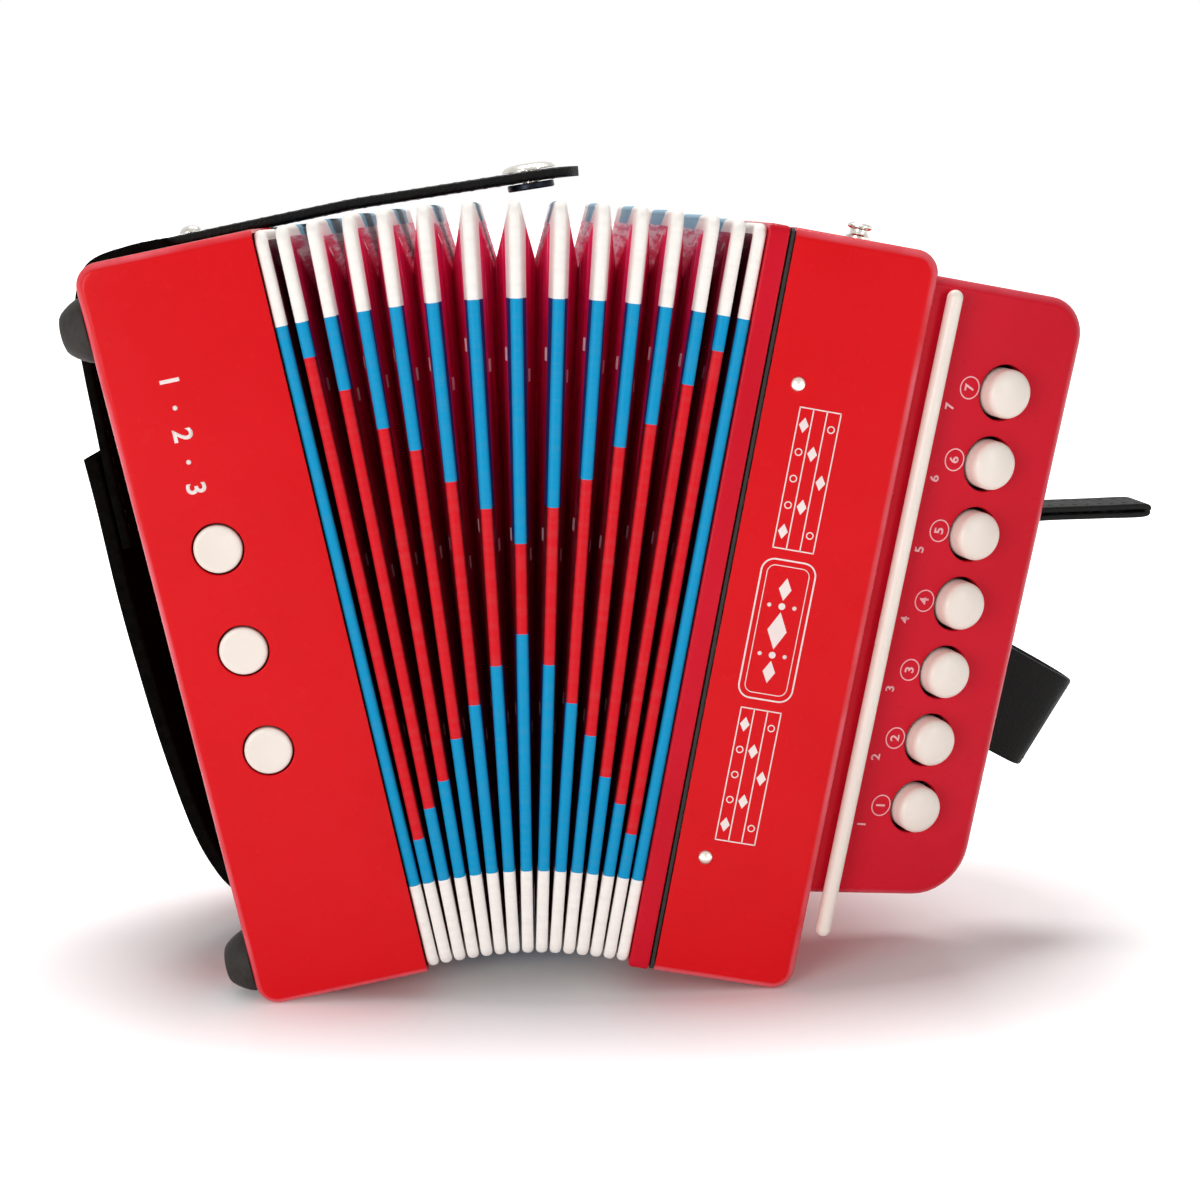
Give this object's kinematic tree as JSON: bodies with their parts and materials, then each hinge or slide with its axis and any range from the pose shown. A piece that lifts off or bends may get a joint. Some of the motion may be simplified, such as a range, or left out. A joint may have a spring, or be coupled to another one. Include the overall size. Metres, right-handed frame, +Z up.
{
  "type": "toy button accordion",
  "caption": "Small toy button accordion with a fanned bellows, a slanted fingerboard of round melody buttons, bass buttons, leather straps and a snap closure.",
  "frame": {"origin": "centre of the footprint on the floor under the standing accordion", "axes": "+X from the bass end towards the melody buttons, +Y from the decorated front to the back, +Z up"},
  "size_m": [0.2658, 0.0996, 0.1988],
  "materials": {
    "red_casing": "glossy red casing",
    "fingerboard_red": "satin red",
    "fold_card": "card folds bound in coloured tape",
    "pleat_paper": "coated pleating paper",
    "white_plastic": "warm white",
    "black_rubber": "matt rubber",
    "black_leather": "grained leather",
    "nickel": "nickel plate",
    "spring_steel": "flat spring steel",
    "reed_wood": "plain sanded wood",
    "lever_plastic": "moulded black"
  },
  "bodies": {
    "bass_end": {"bass_housing": "red_casing", "bass_reed_board": "reed_wood", "bass_spring_comb": "spring_steel", "hand_strap_upper": "black_leather", "hand_strap_lower": "black_leather", "hand_strap_screw": "nickel", "foot_front_high": "black_rubber", "foot_front_low": "black_rubber", "foot_back_high": "black_rubber", "foot_back_low": "black_rubber", "bellows_strap_anchor": "black_leather", "strap_rivet": "nickel", "bellows_fold_01": "fold_card", "bellows_web": "pleat_paper"},
    "air_valve_plunger": {"air_valve_button": "white_plastic"},
    "bass_plunger_1": {"bass_button_1": "white_plastic"},
    "bass_plunger_2": {"bass_button_2": "white_plastic"},
    "strap_end": {"bellows_strap": "black_leather", "snap_cap": "nickel"},
    "fold_02": {"bellows_fold_02": "fold_card"},
    "fold_03": {"bellows_fold_03": "fold_card"},
    "fold_04": {"bellows_fold_04": "fold_card"},
    "fold_05": {"bellows_fold_05": "fold_card"},
    "fold_06": {"bellows_fold_06": "fold_card"},
    "fold_07": {"bellows_fold_07": "fold_card"},
    "fold_08": {"bellows_fold_08": "fold_card"},
    "fold_09": {"bellows_fold_09": "fold_card"},
    "fold_10": {"bellows_fold_10": "fold_card"},
    "fold_11": {"bellows_fold_11": "fold_card"},
    "fold_12": {"bellows_fold_12": "fold_card"},
    "fold_13": {"bellows_fold_13": "fold_card"},
    "fold_14": {"bellows_fold_14": "fold_card"},
    "treble_end": {"bellows_fold_15": "fold_card", "bellows_frame": "red_casing", "frame_gasket": "black_rubber", "treble_housing": "red_casing", "frame_pin_high": "nickel", "frame_pin_low": "nickel", "snap_stud": "nickel", "fingerboard": "fingerboard_red", "lever_axle": "spring_steel", "trim_rod": "white_plastic", "treble_reed_block": "reed_wood", "treble_spring_comb": "spring_steel", "thumb_strap": "black_leather", "hand_loop": "black_leather"},
    "key_1": {"treble_button_1": "white_plastic", "treble_lever_1": "lever_plastic"},
    "key_2": {"treble_button_2": "white_plastic", "treble_lever_2": "lever_plastic"},
    "key_3": {"treble_button_3": "white_plastic", "treble_lever_3": "lever_plastic"},
    "key_4": {"treble_button_4": "white_plastic", "treble_lever_4": "lever_plastic"},
    "key_5": {"treble_button_5": "white_plastic", "treble_lever_5": "lever_plastic"},
    "key_6": {"treble_button_6": "white_plastic", "treble_lever_6": "lever_plastic"},
    "key_7": {"treble_button_7": "white_plastic", "treble_lever_7": "lever_plastic"}
  },
  "joints": [
    {"name": "fold_hinge_01", "type": "hinge", "parent": "bass_end", "child": "fold_02", "pos_m": [-0.04796, 0.00075, 0.00745], "axis": [0, 1, 0], "range_deg": [-0.5052, 0.4475], "deforming": ["bellows_web"]},
    {"name": "fold_hinge_02", "type": "hinge", "parent": "fold_02", "child": "fold_03", "pos_m": [-0.04477, 0.00075, 0.00803], "axis": [0, 1, 0], "range_deg": [-1.16, 1.02], "deforming": ["bellows_web"]},
    {"name": "fold_hinge_03", "type": "hinge", "parent": "fold_03", "child": "fold_04", "pos_m": [-0.04156, 0.00075, 0.00855], "axis": [0, 1, 0], "range_deg": [-1.51, 1.34], "deforming": ["bellows_web"]},
    {"name": "fold_hinge_04", "type": "hinge", "parent": "fold_04", "child": "fold_05", "pos_m": [-0.03834, 0.00075, 0.00898], "axis": [0, 1, 0], "range_deg": [-1.41, 1.25], "deforming": ["bellows_web"]},
    {"name": "fold_hinge_05", "type": "hinge", "parent": "fold_05", "child": "fold_06", "pos_m": [-0.03511, 0.00075, 0.00933], "axis": [0, 1, 0], "range_deg": [-1.81, 1.6], "deforming": ["bellows_web"]},
    {"name": "fold_hinge_06", "type": "hinge", "parent": "fold_06", "child": "fold_07", "pos_m": [-0.03186, 0.00075, 0.00957], "axis": [0, 1, 0], "range_deg": [-2.1, 1.86], "deforming": ["bellows_web"]},
    {"name": "fold_hinge_07", "type": "hinge", "parent": "fold_07", "child": "fold_08", "pos_m": [-0.02862, 0.00075, 0.00969], "axis": [0, 1, 0], "range_deg": [-2.26, 2], "deforming": ["bellows_web"]},
    {"name": "fold_hinge_08", "type": "hinge", "parent": "fold_08", "child": "fold_09", "pos_m": [-0.02537, 0.00075, 0.00967], "axis": [0, 1, 0], "range_deg": [-2.22, 1.97], "deforming": ["bellows_web"]},
    {"name": "fold_hinge_09", "type": "hinge", "parent": "fold_09", "child": "fold_10", "pos_m": [-0.02212, 0.00075, 0.00952], "axis": [0, 1, 0], "range_deg": [-2.01, 1.78], "deforming": ["bellows_web"]},
    {"name": "fold_hinge_10", "type": "hinge", "parent": "fold_10", "child": "fold_11", "pos_m": [-0.01888, 0.00075, 0.00926], "axis": [0, 1, 0], "range_deg": [-1.7, 1.51], "deforming": ["bellows_web"]},
    {"name": "fold_hinge_11", "type": "hinge", "parent": "fold_11", "child": "fold_12", "pos_m": [-0.01565, 0.00075, 0.00889], "axis": [0, 1, 0], "range_deg": [-1.45, 1.28], "deforming": ["bellows_web"]},
    {"name": "fold_hinge_12", "type": "hinge", "parent": "fold_12", "child": "fold_13", "pos_m": [-0.01243, 0.00075, 0.00844], "axis": [0, 1, 0], "range_deg": [-1.53, 1.36], "deforming": ["bellows_web"]},
    {"name": "fold_hinge_13", "type": "hinge", "parent": "fold_13", "child": "fold_14", "pos_m": [-0.00923, 0.00075, 0.0079], "axis": [0, 1, 0], "range_deg": [-0.84, 0.74], "deforming": ["bellows_web"]},
    {"name": "fold_hinge_14", "type": "hinge", "parent": "fold_14", "child": "treble_end", "pos_m": [-0.00603, 0.00075, 0.00731], "axis": [0, 1, 0], "range_deg": [-0.4842, 0.429], "deforming": ["bellows_web"]},
    {"name": "strap_bend", "type": "hinge", "parent": "bass_end", "child": "strap_end", "pos_m": [-0.0652, 0.00075, 0.18774], "axis": [0, 1, 0], "range_deg": [-5.7, 5.1]},
    {"name": "air_valve_push", "type": "slide", "parent": "bass_end", "child": "air_valve_plunger", "axis": [0, 1, 0], "range_m": [0, 0.0022], "stiffness_N_per_m": 150, "springref_m": -0.003, "deforming": ["bass_spring_comb"]},
    {"name": "bass_push_1", "type": "slide", "parent": "bass_end", "child": "bass_plunger_1", "axis": [0, 1, 0], "range_m": [0, 0.0022], "stiffness_N_per_m": 150, "springref_m": -0.003, "deforming": ["bass_spring_comb"]},
    {"name": "bass_push_2", "type": "slide", "parent": "bass_end", "child": "bass_plunger_2", "axis": [0, 1, 0], "range_m": [0, 0.0022], "stiffness_N_per_m": 150, "springref_m": -0.003, "deforming": ["bass_spring_comb"]},
    {"name": "key_press_1", "type": "hinge", "parent": "treble_end", "child": "key_1", "pos_m": [0.06767, -0.03573, 0.14674], "axis": [0.1899, 0, 0.9818], "range_deg": [0, 5.5], "stiffness_Nm_per_rad": 0.08, "springref_deg": -6.88, "deforming": ["treble_spring_comb"]},
    {"name": "key_press_2", "type": "hinge", "parent": "treble_end", "child": "key_2", "pos_m": [0.0644, -0.03573, 0.12983], "axis": [0.1899, 0, 0.9818], "range_deg": [0, 5.5], "stiffness_Nm_per_rad": 0.08, "springref_deg": -6.88, "deforming": ["treble_spring_comb"]},
    {"name": "key_press_3", "type": "hinge", "parent": "treble_end", "child": "key_3", "pos_m": [0.06113, -0.03573, 0.11291], "axis": [0.1899, 0, 0.9818], "range_deg": [0, 5.5], "stiffness_Nm_per_rad": 0.08, "springref_deg": -6.88, "deforming": ["treble_spring_comb"]},
    {"name": "key_press_4", "type": "hinge", "parent": "treble_end", "child": "key_4", "pos_m": [0.05786, -0.03573, 0.09599], "axis": [0.1899, 0, 0.9818], "range_deg": [0, 5.5], "stiffness_Nm_per_rad": 0.08, "springref_deg": -6.88, "deforming": ["treble_spring_comb"]},
    {"name": "key_press_5", "type": "hinge", "parent": "treble_end", "child": "key_5", "pos_m": [0.05459, -0.03573, 0.07908], "axis": [0.1899, 0, 0.9818], "range_deg": [0, 5.5], "stiffness_Nm_per_rad": 0.08, "springref_deg": -6.88, "deforming": ["treble_spring_comb"]},
    {"name": "key_press_6", "type": "hinge", "parent": "treble_end", "child": "key_6", "pos_m": [0.05132, -0.03573, 0.06216], "axis": [0.1899, 0, 0.9818], "range_deg": [0, 5.5], "stiffness_Nm_per_rad": 0.08, "springref_deg": -6.88, "deforming": ["treble_spring_comb"]},
    {"name": "key_press_7", "type": "hinge", "parent": "treble_end", "child": "key_7", "pos_m": [0.04804, -0.03573, 0.04524], "axis": [0.1899, 0, 0.9818], "range_deg": [0, 5.5], "stiffness_Nm_per_rad": 0.08, "springref_deg": -6.88, "deforming": ["treble_spring_comb"]}
  ],
  "couplings": [
    {"joint": "fold_hinge_01", "follows": "fold_hinge_07", "ratio": 0.22222},
    {"joint": "fold_hinge_02", "follows": "fold_hinge_07", "ratio": 0.50926},
    {"joint": "fold_hinge_03", "follows": "fold_hinge_07", "ratio": 0.66667},
    {"joint": "fold_hinge_04", "follows": "fold_hinge_07", "ratio": 0.62037},
    {"joint": "fold_hinge_05", "follows": "fold_hinge_07", "ratio": 0.7963},
    {"joint": "fold_hinge_06", "follows": "fold_hinge_07", "ratio": 0.92593},
    {"joint": "fold_hinge_08", "follows": "fold_hinge_07", "ratio": 0.98148},
    {"joint": "fold_hinge_09", "follows": "fold_hinge_07", "ratio": 0.88889},
    {"joint": "fold_hinge_10", "follows": "fold_hinge_07", "ratio": 0.75},
    {"joint": "fold_hinge_11", "follows": "fold_hinge_07", "ratio": 0.63889},
    {"joint": "fold_hinge_12", "follows": "fold_hinge_07", "ratio": 0.67593},
    {"joint": "fold_hinge_13", "follows": "fold_hinge_07", "ratio": 0.37037},
    {"joint": "fold_hinge_14", "follows": "fold_hinge_07", "ratio": 0.21296},
    {"joint": "strap_bend", "follows": "fold_hinge_07", "ratio": 2.5}
  ]
}
